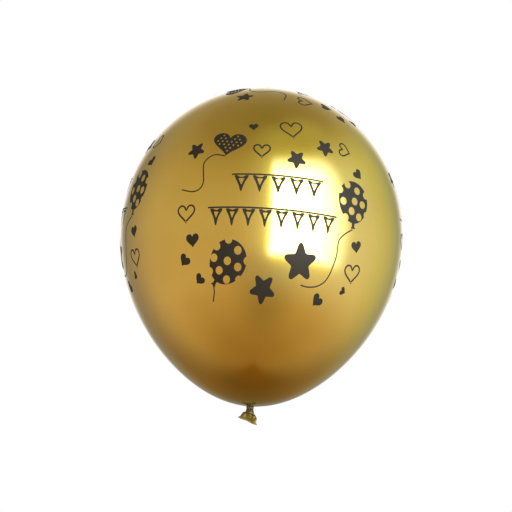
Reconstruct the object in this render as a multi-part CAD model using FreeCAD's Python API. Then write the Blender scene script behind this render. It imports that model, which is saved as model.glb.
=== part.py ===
import FreeCAD, Part
import math
import os
from FreeCAD import Vector

# A gold latex party balloon, blown up to 30 cm and tied off in an overhand knot, with one-colour ink
# prints on five sides. The origin is the tie, the groove between the neck and the knot. +Z runs along
# the balloon's axis to its crown, and the front print faces -Y. Millimetres and degrees throughout.

# The blown-up skin: a surface of revolution, fuller above its middle than below
WIDEST_RADIUS = 150.0
HALF_HEIGHT = 170.0
UPPER_FULLNESS = 0.067
FLANK_FLATTENING = 0.054
SHOULDER = 0.041
TIE_TO_SKIN = 2.0
WALL = 0.3
INK = 0.1
SEAM_LONGITUDE = 150.5
PROFILE_STEPS = 20

# The neck is three ball-shaped layers about the tie, so that it can bend and twist between them
GAP = 0.3
NECK_BALL = 1.9
NECK_LAYER = 0.6
NECK_UPPER_EDGE_Z = 0.6
NECK_LOWER_EDGE_Z = 0.2
NECK_BLOCK = 20.0

# The knot: a loop of gathered latex round a strand
STRAND_RADIUS = 1.7
LOOP_RADIUS = 2.9
LOOP_THICKNESS = 2.4
LOOP_Z = -3.0

# The tail below the knot: a fan pressed flat, ending in the rolled lip
TAIL_PIVOT_Z = -5.8
TAIL_TILT = 20.0
TAIL_LENGTH = 9.4
TAIL_SOCKET = STRAND_RADIUS + GAP
TAIL_SECTIONS = ((0.6, 4.1, 2.3), (4.0, 6.6, 2.1), (TAIL_LENGTH, 9.6, 1.1))
LIP_HALF_LENGTH = 9.0
LIP_TURN_RADIUS = 0.9
LIP_BEAD_RADIUS = 0.7

# Each side's print: longitude (0 is the front, 90 the right), latitude, and turn on the skin
SIDES = {
    "front": (5.0, 5.0, 0.0),
    "right": (111.0, 11.0, 8.0),
    "back": (190.0, 8.0, 0.0),
    "left": (268.0, 9.0, -2.0),
    "crown": (109.0, 82.0, -9.0),
}
PRINT_BALL = 150.0
PLATE_DEPTH = 55.0
PLATE_REACH = 100.0
SKEWS = (0.0, 31.0)

# The motifs of one print: x to the right and y up from its middle, along the skin
STARS = (
    (-84, 60, 9.5, 33),
    (17, 49, 9.5, 34),
    (47, 67, 9.5, -36),
    (27, -41, 17, 4),
    (-8, -67, 13.5, 33),
)
STAR_WAIST = 0.52
HEARTS = (
    (-26, 82, 9.5, 4),
    (86, 48, 12, 48),
    (88, -22, 12.5, 15),
    (81, -63, 8, 68),
    (51, -74, 13, -41),
    (-82, -28, 14, 5),
    (-90, -45, 12.5, -37),
    (-73, -61, 11, -43),
)
OUTLINED_HEARTS = (
    (12.5, 81, 24, 8),
    (-17, 54, 17.5, 0),
    (70, 72, 17, 79),
    (-90, -4, 20, 0),
    (88, -47, 21, 5),
)
HEART_STROKE = 1.4
HEART_INSET = 2.4
HEART_BALLOON = (-50, 62, 34, -10)
SPOTTED_BALLOONS = (
    (80, 19, 36, 2),
    (-45, -45, 34, -35),
)
EGG_HALF_HEIGHT = 0.56
EGG_NARROWING = 0.08
STUB_HALF_WIDTH = 0.07
STUB_END = 0.64
SPOT_RADIUS = 0.095
SPOT_CORNERS = 8
SPOTS = ((0, 0), (-0.24, 0.17), (0.2, 0.26), (0.27, -0.06), (-0.05, -0.3), (-0.27, -0.13))
STRING_WIDTH = 1.2
HEART_STRING = (
    (-57, 51), (-63, 52), (-70, 49), (-74, 44), (-74, 36),
    (-73, 28), (-74, 22), (-78, 18), (-85, 17), (-96, 20),
)
LOW_STRING = ((-59, -66), (-58, -72), (-59, -81))
HIGH_STRING = (
    (80, -7), (72, -12), (66, -18), (65, -24), (65, -32), (63, -41),
    (60, -50), (55, -57), (47, -61), (38, -62), (31, -61),
)
STRINGS = (HEART_STRING, LOW_STRING, HIGH_STRING)
BUNTING_ROWS = (
    (0, 31, 88, 5),
    (-3, 1, 126, 8),
)
PENNANT_HEIGHT = 15.5
PENNANT_SHARE = 0.82
PENNANT_SHRINK = 2.5
PENNANT_DROP = 1.0
PENNANT_MIDDLE = 0.36

UP = Vector(0, 0, 1)
TIE = Vector(0, 0, 0)
SKEW_AXIS = Vector(1, 0.6, 0.3)


def girth(polar):
    """The skin's radius and its rate of change at an angle from the crown, 0, to the neck, pi."""
    c = math.cos(polar)
    s = math.sin(polar)
    fullness = 1 + UPPER_FULLNESS * c - FLANK_FLATTENING * c**2 + SHOULDER * c**3
    slope = UPPER_FULLNESS - 2 * FLANK_FLATTENING * c + 3 * SHOULDER * c**2
    return WIDEST_RADIUS * s * fullness, WIDEST_RADIUS * (c * fullness - s**2 * slope)


def skin_point(polar, longitude, lift=0.0):
    """A point of the skin, or one that stands off it by lift; longitude 0 is at -Y and turns to +X."""
    radius, rate = girth(polar)
    rise = HALF_HEIGHT * math.sin(polar)
    size = math.hypot(rise, rate)
    outward = radius + lift * rise / size
    z = TIE_TO_SKIN + HALF_HEIGHT * (1 + math.cos(polar)) + lift * rate / size
    return Vector(outward * math.sin(longitude), -outward * math.cos(longitude), z)


def skin_solid(lift):
    """The solid inside the skin, with its surface moved out by lift."""
    seam = math.radians(SEAM_LONGITUDE)
    points = [skin_point(math.pi * n / PROFILE_STEPS, seam, lift) for n in range(PROFILE_STEPS + 1)]
    level = Vector(math.sin(seam), -math.cos(seam), 0)
    profile = Part.BSplineCurve()
    profile.interpolate(Points=points, InitialTangent=level, FinalTangent=-level)
    outline = Part.Wire([profile.toShape(), Part.makeLine(points[-1], points[0])])
    return Part.Face(outline).revolve(TIE, UP, 360)


def ball(radius, centre=TIE):
    """A whole sphere."""
    return Part.makeSphere(radius, centre, UP)


def skewed(shape, angle):
    """A copy turned about an odd axis."""
    copy = shape.copy()
    copy.rotate(TIE, SKEW_AXIS, angle)
    return copy


def above(z):
    """A block that holds everything near the neck above a height."""
    side = NECK_BLOCK
    return Part.makeBox(side, side, side, Vector(-side / 2, -side / 2, z))


def make_envelope(outside):
    """The blown-up skin, with a ball-shaped hole where the neck goes in."""
    outer_layer = NECK_BALL + 2 * (GAP + NECK_LAYER) + GAP
    return outside.cut(skin_solid(-WALL)).cut(ball(outer_layer))


def make_neck(inner_radius, edge_z):
    """One layer of the neck: a dome about the tie."""
    layer = ball(inner_radius + NECK_LAYER).cut(ball(inner_radius))
    return layer.common(above(edge_z))


def make_knot_core():
    """The strand through the knot, with a ball at each end for the neck and the tail to bend about."""
    strand = Part.makeCylinder(STRAND_RADIUS, -TAIL_PIVOT_Z, Vector(0, 0, TAIL_PIVOT_Z), UP)
    foot = ball(STRAND_RADIUS, Vector(0, 0, TAIL_PIVOT_Z))
    return strand.fuse([ball(NECK_BALL), foot]).removeSplitter()


def make_knot_loop():
    """The loop of latex that grips the strand."""
    loop = Part.makeTorus(LOOP_RADIUS, LOOP_THICKNESS / 2, Vector(0, 0, LOOP_Z), UP)
    grip = Part.makeCylinder(STRAND_RADIUS, 2 * LOOP_THICKNESS, Vector(0, 0, LOOP_Z - LOOP_THICKNESS), UP)
    return loop.cut(grip)


def on_tail(shape):
    """Move a shape from the tail's own frame, pivot at its origin, to its place under the knot."""
    shape.rotate(TIE, Vector(0, 1, 0), TAIL_TILT)
    shape.translate(Vector(0, 0, TAIL_PIVOT_Z))
    return shape


def make_lip():
    """The rolled bead round the tail's flattened mouth."""
    z = -TAIL_LENGTH
    half = LIP_HALF_LENGTH
    turn = LIP_TURN_RADIUS
    near = (Vector(-half, -turn, z), Vector(half, -turn, z))
    far = (Vector(half, turn, z), Vector(-half, turn, z))
    path = Part.Wire([
        Part.LineSegment(*near).toShape(),
        Part.Arc(near[1], Vector(half + turn, 0, z), far[0]).toShape(),
        Part.LineSegment(*far).toShape(),
        Part.Arc(far[1], Vector(-half - turn, 0, z), near[0]).toShape(),
    ])
    section = Part.Wire([Part.makeCircle(LIP_BEAD_RADIUS, near[0], Vector(1, 0, 0))])
    return path.makePipeShell([section], True, True)


def make_tail(lip):
    """The fan of latex below the knot, cut back where the knot's ball and the lip lie."""
    rings = []
    for down, half_width, half_depth in TAIL_SECTIONS:
        ellipse = Part.Ellipse(Vector(0, 0, -down), half_width, half_depth)
        rings.append(Part.Wire([ellipse.toShape()]))
    return Part.makeLoft(rings, True).cut(ball(TAIL_SOCKET)).cut(lip)


class Print:
    """One side's print, which lays flat motifs on the skin about its own middle."""

    def __init__(self, longitude, latitude, turn):
        east = math.radians(longitude)
        north = math.radians(latitude)
        flat = math.cos(north)
        self.out = Vector(flat * math.sin(east), -flat * math.cos(east), math.sin(north))
        level = Vector(math.cos(east), math.sin(east), 0)
        steep = self.out.cross(level)
        spin = math.radians(turn)
        self.right = level * math.cos(spin) + steep * math.sin(spin)
        self.up = steep * math.cos(spin) - level * math.sin(spin)
        middle = Vector(0, 0, TIE_TO_SKIN + HALF_HEIGHT)
        self.plate = middle + self.out * (PRINT_BALL - PLATE_DEPTH)

    def at(self, x, y):
        """The point of the print's plate that lies under a point of the print on the skin."""
        reach = math.hypot(x, y)
        bend = reach / PRINT_BALL
        away = (self.right * x + self.up * y) * (math.sin(bend) / max(reach, 1e-9))
        aim = self.out * math.cos(bend) + away
        on_skin = skin_point(math.acos(aim.z), math.atan2(aim.x, -aim.y))
        return on_skin - self.out * (on_skin - self.plate).dot(self.out)

    def polygon(self, corners):
        """A closed wire of straight edges through points of the print."""
        points = [self.at(x, y) for x, y in corners]
        return Part.makePolygon(points + points[:1])

    def curve(self, points, closed=False):
        """A smooth edge through points of the print."""
        line = Part.BSplineCurve()
        line.interpolate(Points=[self.at(x, y) for x, y in points], PeriodicFlag=closed)
        return line.toShape()

    def ink(self, wires, skins):
        """The ink inside the first wire and outside the others. A mark that holds the outermost point
        of the skin along X, Y or Z is lost when it is cut, so it is cut again at another angle."""
        block = Part.makeFace(wires, "Part::FaceMakerBullseye").extrude(self.out * PLATE_REACH)
        for angle, bare, inked in skins:
            mark = skewed(block, angle).common(inked).cut(bare)
            if mark.Solids:
                return skewed(mark, -angle)
        raise ValueError("a mark has no ink")


def turned(x, y, turn, points, size=1.0):
    """Points scaled by size, turned anticlockwise and moved to x, y."""
    c = size * math.cos(math.radians(turn))
    s = size * math.sin(math.radians(turn))
    return [(x + c * px - s * py, y + s * px + c * py) for px, py in points]


def star_wires(page, x, y, radius, turn):
    """A five-pointed star."""
    corners = []
    for n in range(10):
        angle = math.radians(90 + 36 * n)
        out = STAR_WAIST if n % 2 else 1.0
        corners.append((out * math.cos(angle), out * math.sin(angle)))
    return [page.polygon(turned(x, y, turn, corners, radius))]


def heart_half(side):
    """One half of a heart one unit wide, from its notch round to its tip; side is 1 or -1."""
    steps = 8
    half = []
    for n in range(steps + 1):
        u = math.pi * n / steps
        rise = 13 * math.cos(u) - 5 * math.cos(2 * u) - 2 * math.cos(3 * u) - math.cos(4 * u)
        half.append((side * math.sin(u) ** 3 / 2, (rise + 2.5) / 32))
    return half


def heart_wire(page, x, y, width, turn):
    """The outline of a heart."""
    right = page.curve(turned(x, y, turn, heart_half(1), width))
    left = page.curve(turned(x, y, turn, heart_half(-1), width))
    return Part.Wire([right, left])


def heart_wires(page, x, y, width, turn):
    """A solid heart."""
    return [heart_wire(page, x, y, width, turn)]


def outlined_heart_wires(page, x, y, width, turn):
    """A heart drawn as a line."""
    inside = width - HEART_INSET * HEART_STROKE
    return [heart_wire(page, x, y, width, turn), heart_wire(page, x, y, inside, turn)]


def spotted_balloon_wires(page, x, y, width, turn):
    """An egg with a stubby neck below it, and round spots left without ink."""
    steps = 14
    side = []
    for n in range(1, steps):
        angle = 2 * math.pi * n / steps
        narrowing = 1 - EGG_NARROWING * math.cos(angle)
        side.append((-math.sin(angle) * narrowing / 2, -EGG_HALF_HEIGHT * math.cos(angle)))
    egg = page.curve(turned(x, y, turn, side, width))
    stub = [side[-1], (STUB_HALF_WIDTH, -STUB_END), (-STUB_HALF_WIDTH, -STUB_END), side[0]]
    corners = [page.at(*p) for p in turned(x, y, turn, stub, width)]
    outline = Part.Wire([egg] + Part.makePolygon(corners).Edges)
    angles = [2 * math.pi * n / SPOT_CORNERS for n in range(SPOT_CORNERS)]
    circle = [(math.cos(angle), math.sin(angle)) for angle in angles]
    spots = []
    for spot_x, spot_y in SPOTS:
        ring = turned(spot_x, spot_y, 0, circle, SPOT_RADIUS)
        spots.append(Part.Wire([page.curve(turned(x, y, turn, ring, width), closed=True)]))
    return [outline] + spots


def ribbon_wire(page, points, width):
    """A band of constant width along a line of points, with straight sides from each to the next."""
    left = []
    right = []
    for n, (x, y) in enumerate(points):
        before = points[max(n - 1, 0)]
        after = points[min(n + 1, len(points) - 1)]
        run = math.dist(before, after)
        side_x = -(after[1] - before[1]) / run * width / 2
        side_y = (after[0] - before[0]) / run * width / 2
        left.append((x + side_x, y + side_y))
        right.append((x - side_x, y - side_y))
    return page.polygon(left + right[::-1])


def bunting_wires(page, x, y, length, count):
    """A line with a row of outlined pennants under it, one list of wires for each separate mark."""
    pitch = length / count
    line = [(x + length * (n / count - 0.5), y) for n in range(count + 1)]
    marks = [[ribbon_wire(page, line, STRING_WIDTH)]]
    for n in range(count):
        middle = x + pitch * (n + 0.5) - length / 2
        half = PENNANT_SHARE * pitch / 2
        top = y - PENNANT_DROP
        outer = [(middle - half, top), (middle + half, top), (middle, top - PENNANT_HEIGHT)]
        shrink = 1 - PENNANT_SHRINK / half
        centre_y = top - PENNANT_HEIGHT * PENNANT_MIDDLE
        inner = [(middle + (px - middle) * shrink, centre_y + (py - centre_y) * shrink) for px, py in outer]
        marks.append([page.polygon(outer), page.polygon(inner)])
    return marks


def print_marks(page):
    """Every mark of one print, as lists of wires, by the name of its kind."""
    spotted = [spotted_balloon_wires(page, *place) for place in SPOTTED_BALLOONS]
    hung = [heart_wires(page, *HEART_BALLOON)]
    strings = [[ribbon_wire(page, route, STRING_WIDTH)] for route in STRINGS]
    return {
        "stars": [star_wires(page, *place) for place in STARS],
        "hearts": [heart_wires(page, *place) for place in HEARTS],
        "outlined_hearts": [outlined_heart_wires(page, *place) for place in OUTLINED_HEARTS],
        "balloons": spotted + hung,
        "strings": strings,
        "bunting": [mark for row in BUNTING_ROWS for mark in bunting_wires(page, *row)],
    }


def make_latex(skin):
    """Every region of the latex, by node name."""
    lip = make_lip()
    lower = NECK_BALL + GAP
    upper = lower + NECK_LAYER + GAP
    return {
        "envelope": make_envelope(skin),
        "neck_upper": make_neck(upper, NECK_UPPER_EDGE_Z),
        "neck_lower": make_neck(lower, NECK_LOWER_EDGE_Z),
        "knot_core": make_knot_core(),
        "knot_loop": make_knot_loop(),
        "tail": on_tail(make_tail(lip)),
        "tail_lip": on_tail(lip),
    }


def make_prints(skin):
    """Every ink node: one for each kind of mark on each side."""
    inked = skin_solid(INK)
    skins = [(angle, skewed(skin, angle), skewed(inked, angle)) for angle in SKEWS]
    nodes = {}
    for side, place in SIDES.items():
        page = Print(*place)
        for kind, marks in print_marks(page).items():
            nodes[f"{side}_{kind}"] = Part.makeCompound([page.ink(wires, skins) for wires in marks])
    return nodes


def main():
    """Write each node to its own file."""
    os.makedirs("parts", exist_ok=True)
    skin = skin_solid(0)
    nodes = make_latex(skin) | make_prints(skin)
    for name, shape in nodes.items():
        solids = shape.Solids
        if not shape.isValid() or not solids:
            raise ValueError(f"{name} is not a valid solid")
        Part.makeCompound(solids).exportStep(f"parts/{name}.step")
        print(f"{name}: {len(solids)} solids, {shape.Volume:.2f} mm3")


main()
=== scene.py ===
import math

import bpy
import numpy as np
from mathutils import Matrix, Vector
from mathutils.geometry import delaunay_2d_cdt


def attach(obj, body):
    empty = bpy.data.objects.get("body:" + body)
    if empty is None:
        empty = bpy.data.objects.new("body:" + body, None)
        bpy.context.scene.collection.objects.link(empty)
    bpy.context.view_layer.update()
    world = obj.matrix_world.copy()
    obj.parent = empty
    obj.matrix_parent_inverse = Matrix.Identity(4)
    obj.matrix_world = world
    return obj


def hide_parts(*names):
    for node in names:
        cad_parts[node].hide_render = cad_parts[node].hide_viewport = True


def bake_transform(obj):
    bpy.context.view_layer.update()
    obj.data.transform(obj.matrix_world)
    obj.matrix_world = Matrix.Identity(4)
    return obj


# The looks of a gold latex party balloon: its skin with the gathers round the neck, the knot, the tail
# with its rolled lip, and a thin film of ink for each kind of printed mark on each side. The frame's
# origin is the tie, +Z runs up to the crown and the front print faces -Y. Shapes are in millimetres.
MM = 0.001

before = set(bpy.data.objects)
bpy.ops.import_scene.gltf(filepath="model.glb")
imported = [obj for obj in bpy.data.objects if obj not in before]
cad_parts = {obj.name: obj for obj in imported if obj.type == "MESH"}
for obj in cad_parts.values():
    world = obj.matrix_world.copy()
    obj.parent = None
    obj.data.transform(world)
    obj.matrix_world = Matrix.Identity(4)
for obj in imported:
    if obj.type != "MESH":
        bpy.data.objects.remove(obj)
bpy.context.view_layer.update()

# The blown-up skin, with the same formula and sizes as the CAD part
WIDEST_RADIUS = 150.0
HALF_HEIGHT = 170.0
UPPER_FULLNESS = 0.067
FLANK_FLATTENING = 0.054
SHOULDER = 0.041
TIE_TO_SKIN = 2.0
SKIN_SEGMENTS = 320
SKIN_RINGS = 190
GATHER_RINGS = 26
NECK_RINGS = 14

# Where the skin gathers into the neck
GATHER_RADIUS = 5.6
GATHER_CURVE = 1.7
NECK_RADIUS = 3.7
NECK_TOP_Z = 0.9
NECK_MIDDLE_Z = -0.2
NECK_FOOT_Z = -2.2
NECK_WAIST = 0.10
NECK_WAIST_REACH = 1.6
PLEAT_HEIGHT = 0.42
PLEAT_FADE = 3.0

# The knot: a core down the middle, a loop round it, and a strand that crosses the front of the loop.
# Each strand is given by its half width, its half depth and its number of creases.
KNOT_CORE_ENDS = (-1.7, -7.6)
KNOT_CORE_STRAND = (2.9, 2.7, 9)
KNOT_LOOP_RADII = (3.0, 2.8)
KNOT_LOOP_Z = -4.1
KNOT_LOOP_TILT = 0.6
KNOT_LOOP_STRAND = (1.45, 1.75, 6)
KNOT_CROSS_RADII = (3.1, 2.9)
KNOT_CROSS_SHIFT = 0.3
KNOT_CROSS_Z = -4.0
KNOT_CROSS_DROP = 1.1
KNOT_CROSS_HALF_TURNS = (-0.2, 1.15)
KNOT_CROSS_STRAND = (1.1, 1.35, 5)
KNOT_VOXEL = 0.16

# The tail's own frame: its pivot, its tilt, and its place beside the pivot
TAIL_PIVOT_Z = -5.8
TAIL_TILT = math.radians(20.0)
TAIL_LENGTH = 8.6
TAIL_OFFSET = 1.3
TAIL_RAISE = 1.6
TAIL_TOP = -1.2
TAIL_WALL = 0.4
MOUTH_FLOOR = 6.6
# A curved fold across the fan's front: its highest point along and down, how fast it falls away to
# both sides, the depth of the pocket above it, and the height and width of the ridge that it makes
FOLD_PEAK = (2.8, 5.3)
FOLD_FALL = 0.085
POCKET_DEPTH = 2.0
RIDGE_HEIGHT = 0.85
RIDGE_WIDTH = 0.7
# The fan's half width and half depth at distances down from the pivot
FAN_WIDTHS = ((-1.2, 0.5, 2.4, 5.0, 7.6, TAIL_LENGTH), (3.0, 5.6, 7.9, 8.6, 9.1, 9.7))
FAN_DEPTHS = ((-1.2, 0.5, 3.0, 6.0, TAIL_LENGTH), (2.5, 2.7, 2.2, 1.7, 0.95))

# The rolled lip: the loop it follows, which shares its wave and its sag with the fan, and its bead
LIP_HALF_LENGTH = 9.0
LIP_TURN_RADIUS = 0.9
LIP_BEAD_RADIUS = 0.72
LIP_POINTS = 260
LIP_SECTION_POINTS = 18
# How square the flattened fan and lip are: powers for their width and their depth, 1 being an oval
END_POWER = 0.86
FAN_DEPTH_POWER = 0.8
LIP_DEPTH_POWER = 0.7

# Each side's print: longitude (0 is the front, 90 the right), latitude, and turn on the skin
SIDES = {
    "front": (5.0, 5.0, 0.0),
    "right": (111.0, 11.0, 8.0),
    "back": (190.0, 8.0, 0.0),
    "left": (268.0, 9.0, -2.0),
    "crown": (109.0, 82.0, -9.0),
}
# A print is laid out on a ball of this radius, then drawn to the skin. The ink stands a little above
# the skin and reaches a little below it. The grid inside it lets it bend with the skin.
PRINT_BALL = 150.0
INK_TOP = 0.06
INK_BOTTOM = -0.05
INK_GRID = 3.6

# The motifs of one print, in millimetres along the skin from its middle, as in the CAD part. Stars,
# hearts and balloons are given by x, y, radius or width, and anticlockwise turn in degrees.
STARS = (
    (-84, 60, 9.5, 33),
    (17, 49, 9.5, 34),
    (47, 67, 9.5, -36),
    (27, -42, 17, 4),
    (-8, -67, 13.5, 33),
)
STAR_WAIST = 0.54
STAR_REACH = 0.99
STAR_TIP_HALF_ANGLE = 7
STAR_ROUNDING = (0.4, 0.4, 0.15)
HEARTS = (
    (-26, 82, 9.5, 4),
    (86, 48, 12, 48),
    (88, -22, 12.5, 15),
    (81, -63, 8, 68),
    (51, -74, 13, -41),
    (-82, -28, 14, 5),
    (-91.5, -46, 12.5, -37),
    (-74.5, -62.5, 11, -43),
)
OUTLINED_HEARTS = (
    (12.5, 81, 24, 8),
    (-17, 54, 17.5, 0),
    (71, 71, 17, 79),
    (-90, -4, 20, 0),
    (88, -47, 21, 5),
)
HEART_STROKE = 1.6
# A heart's tip is rounded off at this depth, with this softness, as shares of the heart's width
HEART_TIP = 0.43
HEART_BLUNTNESS = 0.05
HEART_BALLOON = (-50, 62, 34, -10)
HEART_BALLOON_SQUAT = 0.86
DOT_RADIUS = 1.0
DOT_PITCH = 4.8
DOT_ROW_SHARE = 0.72
DOT_MARGIN = 1.5
SPOTTED_BALLOONS = (
    (80, 19, 36, 2),
    (-45, -46, 36, -35),
)
# A spotted balloon's shape and spots, as shares of its width
EGG_HALF_WIDTH = 0.5
EGG_HALF_HEIGHT = 0.56
EGG_NARROWING = 0.08
EGG_OPENING = 0.1
BALLOON_STUB = (
    (0.045, -0.60), (0.04, -0.64), (0.085, -0.695), (-0.085, -0.695), (-0.04, -0.64), (-0.045, -0.60),
)
SPOT_RADIUS = 0.102
SPOTS = (
    (
        (-0.35, -0.03), (0.03, 0.02), (0.31, -0.02), (-0.07, -0.25), (0.12, 0.32), (0.19, -0.37),
        (-0.27, -0.44), (-0.21, 0.43), (-0.46, 0.26), (0.44, 0.26), (0.47, -0.28),
    ),
    (
        (-0.37, -0.14), (-0.02, 0.03), (0.06, 0.4), (-0.07, -0.29), (0.3, 0.09), (0.23, -0.34),
        (-0.47, 0.13), (-0.3, 0.45), (0.42, 0.36), (-0.28, -0.48), (0.51, -0.13),
    ),
)
STRING_WIDTH = 1.2
HEART_STRING = (
    (-53, 50), (-63, 52), (-70, 49), (-74, 44), (-74, 36),
    (-73, 28), (-74, 22), (-78, 18), (-85, 17), (-96, 20),
)
LOW_STRING = ((-59, -66), (-58, -72), (-59, -81))
HIGH_STRING = (
    (80, -7), (72, -12), (66, -18), (65, -24), (65, -32), (63, -41),
    (60, -50), (55, -57), (47, -61), (38, -62), (31, -61),
)
# Each row's middle, length and number of pennants
BUNTING_ROWS = (
    (0, 31, 88, 5),
    (-3, 1, 126, 8),
)
PENNANT_HEIGHT = 15.5
PENNANT_SHARE = 0.82
PENNANT_STROKE = 2.7
BUNTING_LINE = 1.5
PENNANT_DROP = 1.0
PENNANT_ROUNDING = 0.08
PENNANT_HOLE_ROUNDING = 0.12


# ---------------------------------------------------------------- shapes


def smooth(value, start, end):
    """0 before start, 1 after end, with an eased run between."""
    t = np.clip((np.asarray(value, float) - start) / (end - start), 0, 1)
    return t * t * (3 - 2 * t)


def waves(value, terms):
    """The sum of cosine waves, each one given by its height, its rate and its start."""
    return sum(height * np.cos(rate * value + start) for height, rate, start in terms)


def turn_angles(count):
    """Evenly spaced angles of one full turn, without the last, which is the first again."""
    return np.linspace(0, 2 * math.pi, count, endpoint=False)


def round_axis(radius, longitude, z):
    """Points round the balloon's axis; longitude 0 is at -Y and turns to +X."""
    height = z + np.zeros_like(longitude)
    return np.stack([radius * np.sin(longitude), -radius * np.cos(longitude), height], -1)


def skin_points(polar, longitude, lift=0.0):
    """Points of the skin from the crown, where polar is 0, to the neck, where it is pi."""
    c = np.cos(polar)
    s = np.sin(polar)
    fullness = 1 + UPPER_FULLNESS * c - FLANK_FLATTENING * c**2 + SHOULDER * c**3
    slope = UPPER_FULLNESS - 2 * FLANK_FLATTENING * c + 3 * SHOULDER * c**2
    rate = WIDEST_RADIUS * (c * fullness - s**2 * slope)
    rise = HALF_HEIGHT * s
    size = np.hypot(rise, rate)
    outward = WIDEST_RADIUS * s * fullness + lift * rise / size
    z = TIE_TO_SKIN + HALF_HEIGHT * (1 + c) + lift * rate / size
    return round_axis(outward, longitude, z)


def pleats(longitude):
    """The height of the gathers round the neck, about -1 to 1: narrow valleys between round folds."""
    folds = waves(longitude, ((0.55, 9, 0.7), (0.3, 14, 2.1), (0.25, 5, -1.2), (0.15, 23, 0.0)))
    return 1 - 2 * np.abs(np.sin(folds * 1.3 + 0.4)) ** 0.8


def make_object(name, points, faces, material):
    """A smooth-shaded mesh object from points in millimetres."""
    mesh = bpy.data.meshes.new(name)
    mesh.from_pydata((np.asarray(points, float) * MM).tolist(), [], faces)
    mesh.polygons.foreach_set("use_smooth", np.ones(len(faces), bool))
    mesh.materials.append(material)
    mesh.validate()
    made = bpy.data.objects.new(name, mesh)
    bpy.context.scene.collection.objects.link(made)
    return made


def ring_faces(first, second, count):
    """Quads between two rings of points that start at these indices."""
    after = [(n + 1) % count for n in range(count)]
    return [(first + n, first + after[n], second + after[n], second + n) for n in range(count)]


def tube(rings, cap_start=True, cap_end=True):
    """Points and faces of a surface through rings of points, all of one length, with or without ends."""
    count = len(rings[0])
    points = np.concatenate(rings)
    faces = []
    for n in range(len(rings) - 1):
        faces += ring_faces(n * count, (n + 1) * count, count)
    for wanted, ring, order in ((cap_start, 0, -1), (cap_end, len(rings) - 1, 1)):
        if wanted:
            middle = len(points)
            points = np.concatenate([points, [rings[ring].mean(0)]])
            corners = [ring * count + n for n in range(count)][::order]
            faces += [(corners[n], corners[(n + 1) % count], middle) for n in range(count)]
    return points, faces


def closed_tube(rings):
    """Points and faces of a surface through rings of points, with the last ring joined to the first."""
    count = len(rings[0])
    faces = []
    for n in range(len(rings)):
        faces += ring_faces(n * count, (n + 1) % len(rings) * count, count)
    return np.concatenate(rings), faces


def swept(path, section, closed=False):
    """Rings of a section, which gives (side, up) offsets for each share of a path, carried along it."""
    path = np.asarray(path, float)
    count = len(path)
    if closed:
        ahead = np.roll(path, -1, 0) - np.roll(path, 1, 0)
    else:
        ahead = np.gradient(path, axis=0)
    ahead /= np.linalg.norm(ahead, axis=1)[:, None]
    side = np.cross(ahead[0], [0.1, 0.3, 1.0])
    rings = []
    for n in range(count):
        side = side - ahead[n] * (side @ ahead[n])
        side /= np.linalg.norm(side)
        up = np.cross(ahead[n], side)
        offsets = section(n / (count - 1))
        rings.append(path[n] + offsets[:, :1] * side + offsets[:, 1:] * up)
    return rings


# ---------------------------------------------------------------- materials


def add_node(tree, kind, inputs=None, **settings):
    """A shader node with its settings, and its inputs set to values or linked to sockets."""
    made = tree.nodes.new("ShaderNode" + kind)
    for name, value in settings.items():
        setattr(made, name, value)
    for key, value in (inputs or {}).items():
        if isinstance(value, bpy.types.NodeSocket):
            tree.links.new(value, made.inputs[key])
        else:
            made.inputs[key].default_value = value
    return made


def calculate(tree, operation, *values):
    """The result of a Math node."""
    return add_node(tree, "Math", dict(enumerate(values)), operation=operation).outputs[0]


def eased(tree, value, start, end, low=0.0, high=1.0):
    """The result of a smooth Map Range node."""
    inputs = {"Value": value, "From Min": start, "From Max": end, "To Min": low, "To Max": high}
    return add_node(tree, "MapRange", inputs, interpolation_type="SMOOTHSTEP").outputs[0]


def spread(tree, value, start, end):
    """The result of a linear Map Range node."""
    return add_node(tree, "MapRange", {"Value": value, "From Min": start, "From Max": end}).outputs[0]


def noise_at(tree, place, scale, detail=2.0, roughness=0.5):
    """The result of a Noise node at a place."""
    inputs = {"Vector": place, "Scale": scale, "Detail": detail, "Roughness": roughness}
    return add_node(tree, "TexNoise", inputs).outputs["Fac"]


def mix_colours(tree, share, first, second, blend="MIX"):
    """The result of a colour Mix node."""
    mixer = add_node(tree, "Mix", {0: share}, data_type="RGBA", blend_type=blend)
    for socket, value in ((mixer.inputs[6], first), (mixer.inputs[7], second)):
        if isinstance(value, bpy.types.NodeSocket):
            tree.links.new(value, socket)
        else:
            socket.default_value = value
    return mixer.outputs[2]


def new_material(name):
    """A material with only its output node, and its tree."""
    material = bpy.data.materials.new(name)
    material.use_nodes = True
    tree = material.node_tree
    tree.nodes.clear()
    return material, tree


GOLD = (0.80, 0.465, 0.016, 1)
DEEP_GOLD = (0.74, 0.415, 0.008, 1)
PALE_GOLD = (0.86, 0.57, 0.06, 1)
# Near the tie the skin is browner, partly as slack latex is and partly as painted shade on the balloon's
# underside
SLACK_AND_SHADED_GOLD = (0.27, 0.175, 0.035, 1)
LIMP_GOLD = (0.25, 0.155, 0.020, 1)
# Painted shade that darkens the neck, knot and tail close round the tie
TIE_SHADE_GOLD = (0.13, 0.08, 0.016, 1)
FLAKE_SCALE = 2600.0
FLAKE_SHARE = 0.35
# How far from the tie, in metres, the colour goes from slack to stretched, which on the skin also paints
# shade on its underside, and how far and how strongly painted shade darkens everything close round the tie
SLACK_AND_SHADE_REACH = (0.004, 0.075)
TIE_SHADE_REACH = (0.003, 0.012)
TIE_SHADE_SHARE = 0.88

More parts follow.
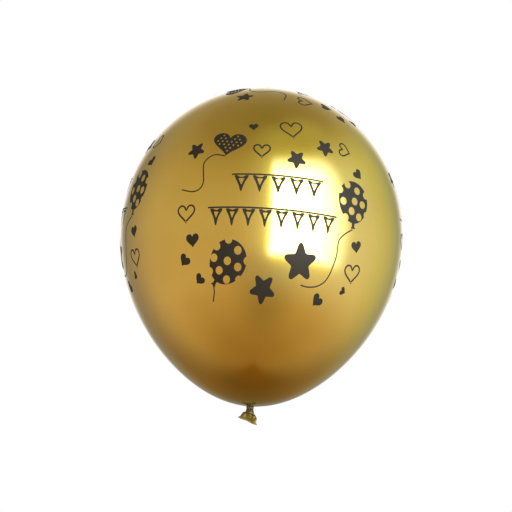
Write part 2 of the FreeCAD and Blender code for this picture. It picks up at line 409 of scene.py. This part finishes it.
# The blown-up skin is smooth and bright, browner towards the tie, where painted shade darkens its underside.
# The neck, knot and tail are duller, browner and have creases.
STRETCHED = {
    "near_tie": SLACK_AND_SHADED_GOLD,
    "metallic": 1.0,
    "roughness": 0.14,
    "coat": 1.0,
    "coat_roughness": 0.04,
    "coat_ior": 2.0,
    "grain_scale": 700.0,
    "peel_scale": 140.0,
    "relief": 0.00001,
}
SLACK = {
    "near_tie": LIMP_GOLD,
    "metallic": 0.75,
    "roughness": 0.40,
    "coat": 0.1,
    "coat_roughness": 0.3,
    "coat_ior": 1.5,
    "grain_scale": 1500.0,
    "peel_scale": 420.0,
    "relief": 0.00008,
}


def make_latex(name, looks):
    """Pearly gold latex with fine flakes and a faint orange peel, browner towards the tie, with painted shade
    there.
    """
    material, tree = new_material(name)
    place = add_node(tree, "TexCoord").outputs["Object"]
    cloud = noise_at(tree, place, 9.0, 3.0)
    flake = add_node(tree, "TexVoronoi", {"Vector": place, "Scale": FLAKE_SCALE}).outputs["Color"]
    flake_tone = add_node(tree, "SeparateColor", {"Color": flake}).outputs[0]
    stretched = mix_colours(tree, eased(tree, cloud, 0.35, 0.65), DEEP_GOLD, GOLD)
    stretched = mix_colours(tree, eased(tree, flake_tone, 0.72, 1.0, 0.0, FLAKE_SHARE), stretched, PALE_GOLD)
    reach = add_node(tree, "VectorMath", {0: place}, operation="LENGTH").outputs["Value"]
    # Browner towards the tie: slack latex's own colour, and on the blown-up skin also painted shade on its
    # underside
    slack_and_shade = eased(tree, reach, *SLACK_AND_SHADE_REACH, 1.0, 0.0)
    colour = mix_colours(tree, slack_and_shade, stretched, looks["near_tie"])
    # Painted shade close round the tie, darkening the neck, knot, tail and the gathers
    tie_shade = eased(tree, reach, *TIE_SHADE_REACH, TIE_SHADE_SHARE, 0.0)
    colour = mix_colours(tree, tie_shade, colour, TIE_SHADE_GOLD)
    grain = noise_at(tree, place, looks["grain_scale"], 3.0)
    peel = noise_at(tree, place, looks["peel_scale"], 2.0)
    height = calculate(tree, "MULTIPLY_ADD", peel, 0.6, grain)
    relief = {"Height": height, "Strength": 0.35, "Distance": looks["relief"]}
    shader = add_node(tree, "BsdfPrincipled", {
        "Base Color": colour,
        "Metallic": looks["metallic"],
        "Roughness": calculate(tree, "MULTIPLY_ADD", grain, 0.08, looks["roughness"]),
        "Normal": add_node(tree, "Bump", relief).outputs[0],
        "Coat Weight": looks["coat"],
        "Coat Roughness": looks["coat_roughness"],
        "Coat IOR": looks["coat_ior"],
    })
    add_node(tree, "OutputMaterial", {"Surface": shader.outputs[0]})
    return material


INK = (0.007, 0.006, 0.005, 1)
THIN_INK = (0.016, 0.012, 0.009, 1)
PATCHY_INK = (0.014, 0.009, 0.007, 1)
INK_GLOSS = (1.0, 0.72, 0.38, 1)


def make_ink():
    """Stretched screen-print ink: nearly black, mottled where it thinned, with a soft gloss."""
    material, tree = new_material("ink")
    place = add_node(tree, "TexCoord").outputs["Object"]
    mottle = noise_at(tree, place, 650.0, 4.0, 0.6)
    patches = noise_at(tree, place, 60.0, 2.0)
    thin = eased(tree, mottle, 0.45, 0.75)
    colour = mix_colours(tree, thin, INK, THIN_INK)
    colour = mix_colours(tree, eased(tree, patches, 0.4, 0.7, 0.0, 0.5), colour, PATCHY_INK)
    roughness = eased(tree, mottle, 0.3, 0.7, 0.46, 0.6)
    bump = add_node(tree, "Bump", {"Height": mottle, "Strength": 0.3, "Distance": 0.00002}).outputs[0]
    shader = add_node(tree, "BsdfPrincipled", {
        "Base Color": colour,
        "Roughness": roughness,
        "Specular IOR Level": 0.5,
        "Specular Tint": INK_GLOSS,
        "Normal": bump,
    })
    add_node(tree, "OutputMaterial", {"Surface": shader.outputs[0]})
    return material


latex = make_latex("stretched_latex", STRETCHED)
slack_latex = make_latex("slack_latex", SLACK)
ink = make_ink()


# ---------------------------------------------------------------- skin and neck


def neck_ring(z, around):
    """One ring of the gathered neck."""
    waist = 1 - NECK_WAIST * smooth(-abs(z - NECK_MIDDLE_Z), -NECK_WAIST_REACH, 0)
    return round_axis(NECK_RADIUS * waist + PLEAT_HEIGHT * pleats(around), around, z)


def make_skin():
    """The blown-up skin, and the gathers that run into its neck."""
    around = turn_angles(SKIN_SEGMENTS)
    folds = pleats(around)
    foot_fullness = 1 - UPPER_FULLNESS - FLANK_FLATTENING - SHOULDER
    last_polar = math.pi - GATHER_RADIUS / (WIDEST_RADIUS * foot_fullness)
    rings = []
    for n in range(1, SKIN_RINGS + 1):
        polar = last_polar * n / SKIN_RINGS
        ring = skin_points(polar, around)
        out = np.hypot(ring[:, 0], ring[:, 1]).mean()
        if polar > math.pi / 2:
            ring[:, 2] += PLEAT_HEIGHT * math.exp(-out / PLEAT_FADE) * folds
        rings.append(ring)
    foot_z = rings[-1][:, 2].mean()
    for n in range(1, GATHER_RINGS + 1):
        t = n / GATHER_RINGS
        out = NECK_RADIUS + (GATHER_RADIUS - NECK_RADIUS) * (1 - t) ** GATHER_CURVE
        flat_z = foot_z - (foot_z - TIE_TO_SKIN) * (1 - (out / GATHER_RADIUS) ** 2)
        z = flat_z + (NECK_TOP_Z - flat_z) * t**3
        fold = PLEAT_HEIGHT * math.exp(-out / PLEAT_FADE) * folds
        rings.append(round_axis(out + PLEAT_HEIGHT * folds * t**3, around, z + fold * (1 - t**3)))
    points, faces = tube(rings, cap_start=True, cap_end=False)
    skin = make_object("skin", points, [face[::-1] for face in faces], latex)
    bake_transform(skin)
    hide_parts("envelope")


def make_neck(name, top, bottom, node):
    """One length of the gathered neck, between two heights, in place of one CAD neck part."""
    around = turn_angles(SKIN_SEGMENTS)
    rings = [neck_ring(z, around) for z in np.linspace(top, bottom, NECK_RINGS)]
    points, faces = tube(rings, cap_start=False, cap_end=False)
    piece = make_object(name, points, [face[::-1] for face in faces], slack_latex)
    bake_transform(piece)
    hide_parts(node)


make_skin()
make_neck("neck_gathers_upper", NECK_TOP_Z, NECK_MIDDLE_Z, "neck_upper")
make_neck("neck_gathers_lower", NECK_MIDDLE_Z, NECK_FOOT_Z, "neck_lower")


# ---------------------------------------------------------------- knot, tail and lip


def strand_section(half_width, half_depth, creases, count=40):
    """A gathered strand's section, for any place along it: an oval with lengthwise creases."""
    angle = turn_angles(count)

    def section(along):
        crease = 1 + 0.06 * np.cos(creases * angle + 3 * along) + 0.04 * np.cos(3 * angle - 5 * along)
        return np.stack([half_width * crease * np.cos(angle), half_depth * crease * np.sin(angle)], -1)

    return section


def join_shells(name, shells, material, voxel):
    """One watertight surface round several closed shells that run into each other, slightly relaxed."""
    points = []
    faces = []
    for shell_points, shell_faces in shells:
        start = len(points)
        points += list(shell_points)
        faces += [tuple(start + corner for corner in face) for face in shell_faces]
    piece = make_object(name, points, faces, material)
    remesh = piece.modifiers.new("remesh", "REMESH")
    remesh.mode = "VOXEL"
    remesh.voxel_size = voxel * MM
    remesh.use_smooth_shade = True
    relax = piece.modifiers.new("relax", "SMOOTH")
    relax.factor = 0.5
    relax.iterations = 3
    graph = bpy.context.evaluated_depsgraph_get()
    mesh = bpy.data.meshes.new_from_object(piece.evaluated_get(graph))
    mesh.materials.clear()
    mesh.materials.append(material)
    mesh.polygons.foreach_set("use_smooth", np.ones(len(mesh.polygons), bool))
    piece.modifiers.clear()
    piece.data = mesh
    return piece


def make_knot():
    """An overhand knot: a creased loop round the neck's strand, and a second turn that crosses it."""
    core_path = [(0, 0, z) for z in np.linspace(*KNOT_CORE_ENDS, 12)]
    core = tube(swept(core_path, strand_section(*KNOT_CORE_STRAND)))
    turn = turn_angles(60)
    across, deep = KNOT_LOOP_RADII
    height = KNOT_LOOP_Z + KNOT_LOOP_TILT * np.sin(turn + 0.5)
    loop_path = np.stack([across * np.sin(turn), -deep * np.cos(turn), height], -1)
    loop = closed_tube(swept(loop_path, strand_section(*KNOT_LOOP_STRAND), closed=True))
    turn = np.linspace(*KNOT_CROSS_HALF_TURNS, 26) * math.pi
    across, deep = KNOT_CROSS_RADII
    height = KNOT_CROSS_Z - KNOT_CROSS_DROP * np.cos(turn)
    cross_path = np.stack([across * np.cos(turn), -deep * np.sin(turn) - KNOT_CROSS_SHIFT, height], -1)
    cross = tube(swept(cross_path, strand_section(*KNOT_CROSS_STRAND)))
    knot = join_shells("knot", [core, loop, cross], slack_latex, KNOT_VOXEL)
    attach(knot, "knot")
    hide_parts("knot_core", "knot_loop")


def on_tail(points):
    """Points from the tail's own frame (along the lip, out to the back, down) to their place."""
    along, back, down = points[..., 0] + TAIL_OFFSET, points[..., 1], points[..., 2]
    x = along * math.cos(TAIL_TILT) - down * math.sin(TAIL_TILT)
    z = TAIL_PIVOT_Z + TAIL_RAISE - along * math.sin(TAIL_TILT) - down * math.cos(TAIL_TILT)
    return np.stack([x, back, z], -1)


def squared(half, wave, power):
    """A sine or cosine wave of this half height, squared up by a power under 1."""
    return half * np.sign(wave) * np.abs(wave) ** power


def mouth_rise(flow):
    """How far the mouth's edge is drawn up, at a place across it from -1 to 1."""
    return 0.25 * np.cos(5 * flow + 0.4)


def mouth_wave(flow):
    """How far the mouth's edge waves to the back, at a place across it from -1 to 1."""
    return 0.35 * np.sin(2.6 * flow + 0.8)


def front_fold(down, along, around):
    """How far the fan's front stands back: a pocket above a curved fold line, and a ridge along it."""
    front = smooth(-np.sin(around), 0.0, 0.35)
    peak_along, peak_down = FOLD_PEAK
    above = peak_down - FOLD_FALL * (along - peak_along) ** 2 - down
    pocket = smooth(above, 0.1, 1.1) * (1 - smooth(above, 3.2, 5.2)) * smooth(along, -3.0, -0.6)
    ridge = np.exp(-((above + RIDGE_WIDTH / 2) / RIDGE_WIDTH) ** 2) * smooth(along, -3.6, -1.0)
    return front * (POCKET_DEPTH * pocket - RIDGE_HEIGHT * ridge)


def fan_ring(down, wall, around):
    """One ring of the fan, outside or a wall's thickness inside: broad shoulders and gathered folds."""
    half_width = np.interp(down, *FAN_WIDTHS) - wall
    half_depth = np.interp(down, *FAN_DEPTHS) - wall
    along = squared(half_width, np.cos(around), END_POWER)
    back = squared(half_depth, np.sin(around), FAN_DEPTH_POWER)
    fade = 1 - smooth(down, 3.0, TAIL_LENGTH)
    flow = along / half_width
    folds = waves(flow, ((0.20, 9, 0.6), (0.10, 17, -1.0)))
    back = back * (1 + 0.42 * folds * (0.25 + fade))
    if wall == 0:
        back = back + front_fold(down, along, around)
    back = back + mouth_wave(flow) * smooth(down, 1.5, TAIL_LENGTH)
    low = down - mouth_rise(flow) * smooth(down, 0, TAIL_LENGTH)
    return on_tail(np.stack([along, back, low], -1))


def make_tail():
    """The flattened fan under the knot, open at its mouth."""
    around = turn_angles(220)
    outer = [fan_ring(down, 0, around) for down in np.linspace(TAIL_TOP, TAIL_LENGTH, 64)]
    inner = [fan_ring(down, TAIL_WALL, around) for down in np.linspace(TAIL_LENGTH, MOUTH_FLOOR, 12)]
    points, faces = tube(outer + inner)
    tail = make_object("tail_fan", points, faces, slack_latex)
    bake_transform(tail)
    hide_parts("tail")


def make_lip():
    """The rolled bead round the mouth, a little uneven as a rolled edge is."""
    angle = turn_angles(LIP_POINTS)
    half = LIP_HALF_LENGTH + LIP_TURN_RADIUS
    along = squared(half, np.cos(angle), END_POWER)
    flow = along / half
    back = squared(LIP_TURN_RADIUS, np.sin(angle), LIP_DEPTH_POWER) + mouth_wave(flow)
    path = on_tail(np.stack([along, back, TAIL_LENGTH - mouth_rise(flow)], -1))
    spin = turn_angles(LIP_SECTION_POINTS)
    bead = np.stack([np.cos(spin), np.sin(spin)], -1)

    def section(t):
        return LIP_BEAD_RADIUS * (1 + 0.10 * math.sin(31 * t) + 0.06 * math.sin(83 * t + 1)) * bead

    points, faces = closed_tube(swept(path, section, closed=True))
    lip = make_object("lip_bead", points, faces, slack_latex)
    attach(lip, "tail")
    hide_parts("tail_lip")


make_knot()
make_tail()
make_lip()


# ---------------------------------------------------------------- ink


def placed(points, x, y, turn, size=1.0):
    """Points scaled by size, turned anticlockwise by degrees and moved to x, y."""
    points = np.asarray(points, float) * size
    c = math.cos(math.radians(turn))
    s = math.sin(math.radians(turn))
    return points @ np.array([[c, s], [-s, c]]) + (x, y)


def rounded(corners, share, steps=5):
    """A closed outline whose corners are rounded off over one share of each edge, or each over its own."""
    corners = np.asarray(corners, float)
    shares = np.broadcast_to(share, len(corners))
    outline = []
    for n, corner in enumerate(corners):
        start = corner + (corners[n - 1] - corner) * shares[n]
        end = corner + (corners[(n + 1) % len(corners)] - corner) * shares[n]
        for t in np.linspace(0, 1, steps):
            outline.append(start * (1 - t) ** 2 + corner * 2 * t * (1 - t) + end * t**2)
    return np.array(outline)


def ellipse(x, y, across, up, count=24):
    """A closed oval."""
    angle = turn_angles(count)
    return np.stack([x + across * np.cos(angle), y + up * np.sin(angle)], -1)


def star(x, y, radius, turn):
    """A fat five-pointed star with rounded tips, each of which has two corners."""
    tip = math.radians(STAR_TIP_HALF_ANGLE)
    notch = math.radians(36)
    corners = []
    for angle in np.radians(90 + 72 * np.arange(5)):
        for out, place in ((STAR_REACH, angle - tip), (STAR_REACH, angle + tip), (STAR_WAIST, angle + notch)):
            corners.append((out * math.cos(place), out * math.sin(place)))
    return placed(rounded(corners, STAR_ROUNDING * 5, 7), x, y, turn, radius), []


def heart_outline(x, y, width, turn, count=56):
    """The outline of a heart: the common heart curve, with its sharp tip rounded off."""
    angle = turn_angles(count)
    lobes = waves(angle, ((13, 1, 0), (-5, 2, 0), (-2, 3, 0), (-1, 4, 0)))
    above = (lobes + 2.5) / 32 + HEART_TIP
    rise = 0.5 * (above + np.hypot(above, HEART_BLUNTNESS)) - HEART_TIP
    return placed(np.stack([np.sin(angle) ** 3 / 2, rise], -1), x, y, turn, width)


def heart(*place):
    """A solid heart."""
    return heart_outline(*place), []


def outlined_heart(x, y, width, turn):
    """A heart drawn as a line."""
    outline = heart_outline(x, y, width, turn)
    return outline, [inset(outline, HEART_STROKE)]


def inset(outline, distance):
    """A closed anticlockwise or clockwise outline moved in by a distance."""
    ahead = np.roll(outline, -1, 0) - np.roll(outline, 1, 0)
    ahead /= np.maximum(np.linalg.norm(ahead, axis=1), 1e-9)[:, None]
    after = np.roll(outline, -1, 0)
    area = (outline[:, 0] * after[:, 1] - after[:, 0] * outline[:, 1]).sum()
    normal = np.stack([-ahead[:, 1], ahead[:, 0]], -1) * np.sign(area)
    return outline + normal * distance


def dotted_heart(x, y, width, turn):
    """A heart balloon with staggered rows of small dots left without ink."""
    outline = heart_outline(0, 0, width, 0, 80) * (1, HEART_BALLOON_SQUAT)
    outline = placed(outline, x, y, turn)
    dots = []
    reach = int(width / DOT_PITCH)
    for row in range(-reach, reach + 1):
        for column in range(-reach, reach + 1):
            across = DOT_PITCH * (column + 0.5 * (row % 2))
            dot = ellipse(across, DOT_PITCH * DOT_ROW_SHARE * row, DOT_RADIUS, DOT_RADIUS, 12)
            dots.append(placed(dot, x, y, turn))
    inner = inset(outline, DOT_MARGIN)
    return outline, [dot for dot in dots if inside(dot, inner).all()]


def spotted_balloon(spots, x, y, width, turn):
    """An egg with a stubby neck below it, and round spots left without ink, some cut by its edge."""
    angle = np.linspace(EGG_OPENING, 2 * math.pi - EGG_OPENING, 64)
    narrowing = 1 - EGG_NARROWING * np.cos(angle)
    egg = np.stack([-EGG_HALF_WIDTH * np.sin(angle) * narrowing, -EGG_HALF_HEIGHT * np.cos(angle)], -1)
    outline = np.concatenate([egg, BALLOON_STUB])
    holes = [ellipse(*spot, SPOT_RADIUS, SPOT_RADIUS) for spot in spots]
    return placed(outline, x, y, turn, width), [placed(hole, x, y, turn, width) for hole in holes]


def smooth_line(points, steps=10):
    """Points along a smooth line, a Catmull-Rom spline, through the given ones."""
    points = np.asarray(points, float)
    padded = np.concatenate([[2 * points[0] - points[1]], points, [2 * points[-1] - points[-2]]])
    line = []
    for n in range(len(points) - 1):
        a, b, c, d = padded[n:n + 4]
        for t in np.arange(steps) / steps:
            bend = (2 * a - 5 * b + 4 * c - d) * t**2
            line.append(0.5 * (2 * b + (c - a) * t + bend + (3 * b - a - 3 * c + d) * t**3))
    return np.array(line + [points[-1]])


def ribbon(points, width):
    """A band of constant width with round ends along a smooth line."""
    line = smooth_line(points)
    ahead = np.gradient(line, axis=0)
    ahead /= np.linalg.norm(ahead, axis=1)[:, None]
    side = np.stack([-ahead[:, 1], ahead[:, 0]], -1) * width / 2
    turns = np.linspace(math.pi / 2, -math.pi / 2, 7)[1:-1]
    end = [line[-1] + side[-1] * math.sin(t) + ahead[-1] * width / 2 * math.cos(t) for t in turns]
    start = [line[0] - side[0] * math.sin(t) - ahead[0] * width / 2 * math.cos(t) for t in turns]
    return np.concatenate([line + side, end, (line - side)[::-1], start]), []


def bunting(x, y, length, count):
    """A line with a row of outlined pennants under it."""
    pitch = length / count
    marks = [ribbon([(x - length / 2, y), (x, y), (x + length / 2, y)], BUNTING_LINE)]
    for n in range(count):
        middle = x + pitch * (n + 0.5) - length / 2
        half = PENNANT_SHARE * pitch / 2
        top = y - PENNANT_DROP
        corners = [(middle - half, top), (middle, top - PENNANT_HEIGHT), (middle + half, top)]
        marks.append((rounded(corners, PENNANT_ROUNDING), [triangle_inset(corners, PENNANT_STROKE)]))
    return marks


def triangle_inset(corners, distance):
    """A triangle whose sides are moved in by a distance, with softened corners."""
    a, b, c = (np.array(corner, float) for corner in corners)
    sides = [np.linalg.norm(c - b), np.linalg.norm(a - c), np.linalg.norm(b - a)]
    centre = (a * sides[0] + b * sides[1] + c * sides[2]) / sum(sides)
    area = abs((b - a)[0] * (c - a)[1] - (b - a)[1] * (c - a)[0]) / 2
    shrink = 1 - distance / (2 * area / sum(sides))
    return rounded([centre + (corner - centre) * shrink for corner in (a, b, c)], PENNANT_HOLE_ROUNDING)


def print_marks():
    """The marks of one print by kind, each one an outline and the outlines of its holes."""
    balloons = [spotted_balloon(spots, *place) for spots, place in zip(SPOTS, SPOTTED_BALLOONS)]
    return {
        "stars": [star(*place) for place in STARS],
        "hearts": [heart(*place) for place in HEARTS],
        "outlined_hearts": [outlined_heart(*place) for place in OUTLINED_HEARTS],
        "balloons": [*balloons, dotted_heart(*HEART_BALLOON)],
        "strings": [ribbon(route, STRING_WIDTH) for route in (HEART_STRING, LOW_STRING, HIGH_STRING)],
        "bunting": [mark for row in BUNTING_ROWS for mark in bunting(*row)],
    }


def inside(points, outline):
    """Whether each point is inside a closed outline."""
    points = np.atleast_2d(points)
    start = outline[None]
    end = np.roll(outline, -1, 0)[None]
    x, y = points[:, None, 0], points[:, None, 1]
    rise = end[..., 1] - start[..., 1]
    share = (y - start[..., 1]) / np.where(rise == 0, 1e-12, rise)
    at = start[..., 0] + share * (end[..., 0] - start[..., 0])
    crossed = (start[..., 1] > y) != (end[..., 1] > y)
    return (crossed & (x < at)).sum(1) % 2 == 1


def fill(mark):
    """Flat points and triangles that fill a mark, with points inside it so that it can bend."""
    outline, holes = mark
    loops = [outline, *holes]
    low, high = outline.min(0), outline.max(0)
    across = np.arange(low[0], high[0], INK_GRID) + INK_GRID / 3
    up = np.arange(low[1], high[1], INK_GRID) + INK_GRID / 3
    grid = np.array([(gx, gy) for gx in across for gy in up]).reshape(-1, 2)
    edge_points = np.concatenate(loops)
    if len(grid):
        clear = np.linalg.norm(grid[:, None] - edge_points[None], axis=2).min(1) > INK_GRID / 3
        grid = grid[clear & inside(grid, outline)]
    corners = [Vector(point) for point in np.concatenate([edge_points, grid])]
    edges = []
    start = 0
    for loop in loops:
        edges += [(start + n, start + (n + 1) % len(loop)) for n in range(len(loop))]
        start += len(loop)
    flat, _, triangles, *_ = delaunay_2d_cdt(corners, edges, [], 0, 1e-7)
    flat = np.array([tuple(point) for point in flat])
    triangles = np.array(triangles)
    centres = flat[triangles].mean(1)
    kept = inside(centres, outline)
    for hole in holes:
        kept &= ~inside(centres, hole)
    return flat, triangles[kept]


def on_side(side, flat, lift):
    """Points of one side's print, laid on the skin with a lift."""
    east, north, spin = (math.radians(value) for value in SIDES[side])
    out = np.array([math.cos(north) * math.sin(east), -math.cos(north) * math.cos(east), math.sin(north)])
    level = np.array([math.cos(east), math.sin(east), 0])
    steep = np.cross(out, level)
    right = level * math.cos(spin) + steep * math.sin(spin)
    up = steep * math.cos(spin) - level * math.sin(spin)
    reach = np.hypot(flat[:, 0], flat[:, 1])
    bend = (reach / PRINT_BALL)[:, None]
    away = (flat[:, :1] * right + flat[:, 1:] * up) * np.sin(bend) / np.maximum(reach, 1e-9)[:, None]
    aim = out * np.cos(bend) + away
    polar = np.arccos(np.clip(aim[:, 2], -1, 1))
    return skin_points(polar, np.arctan2(aim[:, 0], -aim[:, 1]), lift)


def film(side, flat, triangles):
    """Points, faces and normals of a closed film of ink, which shades as the skin under it does."""
    used, triangles = np.unique(triangles, return_inverse=True)
    triangles = triangles.reshape(-1, 3)
    flat = flat[used]
    count = len(flat)
    top = on_side(side, flat, INK_TOP)
    bottom = on_side(side, flat, INK_BOTTOM)
    outward = (top - bottom) / (INK_TOP - INK_BOTTOM)
    faces = [tuple(triangle) for triangle in triangles.tolist()]
    edges = {}
    for a, b, c in faces:
        edges.update({(a, b): True, (b, c): True, (c, a): True})
    rim = [(a, b) for a, b in edges if (b, a) not in edges]
    faces += [(count + c, count + b, count + a) for a, b, c in faces]
    faces += [(b, a, count + a, count + b) for a, b in rim]
    return np.concatenate([top, bottom]), faces, np.concatenate([outward, -outward])


def make_prints():
    """Every side's ink, one piece for each kind of mark."""
    filled = {kind: [fill(mark) for mark in marks] for kind, marks in print_marks().items()}
    for side in SIDES:
        for kind, marks in filled.items():
            points = []
            faces = []
            normals = []
            for flat, triangles in marks:
                new_points, new_faces, new_normals = film(side, flat, triangles)
                faces += [tuple(len(points) + corner for corner in face) for face in new_faces]
                points += new_points.tolist()
                normals += new_normals.tolist()
            piece = make_object(f"ink_{side}_{kind}", points, faces, ink)
            piece.data.normals_split_custom_set_from_vertices(normals)
            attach(piece, "envelope")
            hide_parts(f"{side}_{kind}")


make_prints()


# ---------------------------------------------------------------- floor, light and camera

# The floor, in metres. Its tones are warm because the softbox is bluish: it renders a neutral grey.
FLOOR_Z = -0.45
FLOOR_RADIUS = 3.0
FLOOR_STEPS = 96
FLOOR_FADE = (0.8, 2.76)
FLOOR_DARK = (0.59, 0.515, 0.49, 1)
FLOOR_PALE = (0.62, 0.54, 0.515, 1)


def make_floor():
    """A round pale floor that fades out into the surroundings."""
    points = [(0, 0, FLOOR_Z / MM)]
    for radius in (FLOOR_RADIUS / 2, FLOOR_RADIUS):
        for n in range(FLOOR_STEPS):
            angle = 2 * math.pi * n / FLOOR_STEPS
            points.append((radius * math.cos(angle) / MM, radius * math.sin(angle) / MM, FLOOR_Z / MM))
    faces = [(0, 1 + n, 1 + (n + 1) % FLOOR_STEPS) for n in range(FLOOR_STEPS)]
    faces += ring_faces(1 + FLOOR_STEPS, 1, FLOOR_STEPS)
    material, tree = new_material("floor")
    place = add_node(tree, "TexCoord").outputs["Object"]
    reach = add_node(tree, "VectorMath", {0: place}, operation="LENGTH").outputs["Value"]
    fade = eased(tree, reach, *FLOOR_FADE)
    tone = mix_colours(tree, noise_at(tree, place, 40.0, 4.0), FLOOR_DARK, FLOOR_PALE)
    matt = add_node(tree, "BsdfDiffuse", {"Color": tone}).outputs[0]
    clear = add_node(tree, "BsdfTransparent").outputs[0]
    both = add_node(tree, "MixShader", {0: fade, 1: matt, 2: clear}).outputs[0]
    add_node(tree, "OutputMaterial", {"Surface": both})
    floor = make_object("floor", points, faces, material)
    floor.visible_glossy = False


SOFTBOX = (3.6, 4.7, 7.5, 1)
SIDE_GLOW = (0.21, 0.35, 0.12, 1)
COOL_GLOW = (0.06, 0.14, 0.70, 1)
TOP_GLOW = (0.15, 0.24, 0.10, 1)
BACKDROP = (0.95, 0.95, 1.00, 1)
REAR_TINT = (0.85, 0.68, 0.38, 1)
BLACK = (0, 0, 0, 1)
WHITE = (1, 1, 1, 1)
PALE_GREY = (0.68, 0.68, 0.68, 1)

# The parts of the surroundings, in degrees: azimuth from the front towards +X, and elevation. A part
# starts to show at the first angle, is full from the second to the third, and is gone at the fourth.
LIGHTS = (
    (SIDE_GLOW, (-25.0, 30.0, 112.0, 170.0), (-50.0, -5.0, 30.0, 62.0)),
    (COOL_GLOW, (-25.0, 30.0, 70.0, 122.0), (-50.0, -5.0, 30.0, 62.0)),
    (TOP_GLOW, (-40.0, 20.0, 80.0, 140.0), (25.0, 52.0, 68.0, 88.0)),
    (SOFTBOX, (3.0, 10.0, 40.0, 78.0), (-20.0, -13.0, 35.0, 55.0)),
)
# A dark gap in the walls low in front, and how much it takes away
GAP = ((-35.0, 5.0, 8.0, 55.0), (-75.0, -50.0, -25.0, -5.0))
GAP_SHADE = 0.33
# What lies behind, given by how far from the front it starts and is full, to either side
BACKDROP_SPAN = ((142.0, 173.0), (-14.0, 6.0, 22.0, 48.0))
BEHIND_SPAN = ((90.0, 150.0), (-110.0, -60.0, 15.0, 60.0))
BEHIND_SHADE = 0.54
REAR_SPAN = ((110.0, 160.0), (-15.0, -35.0))
SWEEP_SPAN = ((138.0, 160.0), (-14.0, -5.0))

# The walls' colours by elevation: warm from the floor below, neutral in the middle, dark above
WALL_TONES = (
    (-90, 0.36, 0.24, 0.09),
    (-68, 0.43, 0.32, 0.15),
    (-48, 0.58, 0.48, 0.28),
    (-28, 0.68, 0.61, 0.45),
    (5, 0.63, 0.61, 0.45),
    (35, 0.50, 0.48, 0.30),
    (58, 0.35, 0.32, 0.17),
    (90, 0.29, 0.28, 0.11),
)


def window(tree, value, start, start_full, end_full, end):
    """1 between start_full and end_full, and 0 outside start and end."""
    rising = eased(tree, value, start, start_full)
    return calculate(tree, "MULTIPLY", rising, eased(tree, value, end_full, end, 1.0, 0.0))


def make_walls(tree, elevation):
    """The walls' colour at an elevation."""
    ramp = add_node(tree, "ValToRGB", {"Fac": spread(tree, elevation, -90.0, 90.0)})
    while len(ramp.color_ramp.elements) < len(WALL_TONES):
        ramp.color_ramp.elements.new(0.5)
    for element, (height, *tone) in zip(ramp.color_ramp.elements, WALL_TONES):
        element.position = (height + 90) / 180
        element.color = (*tone, 1)
    return ramp.outputs[0]


def make_surroundings():
    """A studio: toned walls, a white backdrop, one big softbox to the front right and weaker glows.

    The camera doesn't see it directly. It sees a white sweep behind the object in the front view, and
    pale grey in every other direction.
    """
    world = bpy.data.worlds.new("studio")
    bpy.context.scene.world = world
    world.use_nodes = True
    tree = world.node_tree
    tree.nodes.clear()
    direction = add_node(tree, "TexCoord").outputs["Generated"]
    split = add_node(tree, "SeparateXYZ", {0: direction}).outputs
    minus_y = calculate(tree, "MULTIPLY", split[1], -1.0)
    azimuth = calculate(tree, "DEGREES", calculate(tree, "ARCTAN2", split[0], minus_y))
    elevation = calculate(tree, "DEGREES", calculate(tree, "ARCSINE", split[2]))
    away = calculate(tree, "ABSOLUTE", azimuth)

    def patch(sides, heights):
        return calculate(tree, "MULTIPLY", window(tree, azimuth, *sides), window(tree, elevation, *heights))

    def patch_behind(span, heights):
        ease = window if len(heights) == 4 else eased
        return calculate(tree, "MULTIPLY", eased(tree, away, *span), ease(tree, elevation, *heights))

    gap_shade = calculate(tree, "MULTIPLY", patch(*GAP), GAP_SHADE)
    behind_shade = calculate(tree, "MULTIPLY", patch_behind(*BEHIND_SPAN), BEHIND_SHADE)
    shade = calculate(tree, "ADD", gap_shade, behind_shade)
    light = mix_colours(tree, shade, make_walls(tree, elevation), BLACK)
    light = mix_colours(tree, patch_behind(*REAR_SPAN), light, REAR_TINT, "MULTIPLY")
    light = mix_colours(tree, patch_behind(*BACKDROP_SPAN), light, BACKDROP, "ADD")
    for colour, sides, heights in LIGHTS:
        light = mix_colours(tree, patch(sides, heights), light, colour, "ADD")
    studio = add_node(tree, "Background", {"Color": light}).outputs[0]
    seen = mix_colours(tree, patch_behind(*SWEEP_SPAN), PALE_GREY, WHITE)
    plain = add_node(tree, "Background", {"Color": seen}).outputs[0]
    to_camera = add_node(tree, "LightPath").outputs["Is Camera Ray"]
    both = add_node(tree, "MixShader", {0: to_camera, 1: studio, 2: plain}).outputs[0]
    add_node(tree, "OutputWorld", {"Surface": both})


# The camera, which looks slightly up at the balloon's middle and is rolled as the balloon leans
CAMERA_TARGET = (0, 0, 0.172)
CAMERA_DISTANCE = 1.284
CAMERA_ELEVATION = -8.0
CAMERA_ROLL = 3.8
SENSOR_WIDTH = 36.0
LENS = 84.375
SHIFT = (-0.0092, -0.0182)


def make_camera():
    """The camera, at the photograph's viewing angle."""
    target = Vector(CAMERA_TARGET)
    height = math.radians(CAMERA_ELEVATION)
    data = bpy.data.cameras.new("camera")
    data.sensor_width = SENSOR_WIDTH
    data.lens = LENS
    data.shift_x, data.shift_y = SHIFT
    camera = bpy.data.objects.new("camera", data)
    bpy.context.scene.collection.objects.link(camera)
    eye = target + CAMERA_DISTANCE * Vector((0, -math.cos(height), math.sin(height)))
    look = (target - eye).to_track_quat("-Z", "Y").to_matrix().to_4x4()
    roll = Matrix.Rotation(math.radians(CAMERA_ROLL), 4, "Z")
    camera.matrix_world = Matrix.Translation(eye) @ look @ roll
    bpy.context.scene.camera = camera


make_floor()
make_surroundings()
make_camera()
bpy.context.scene.view_settings.view_transform = "Standard"
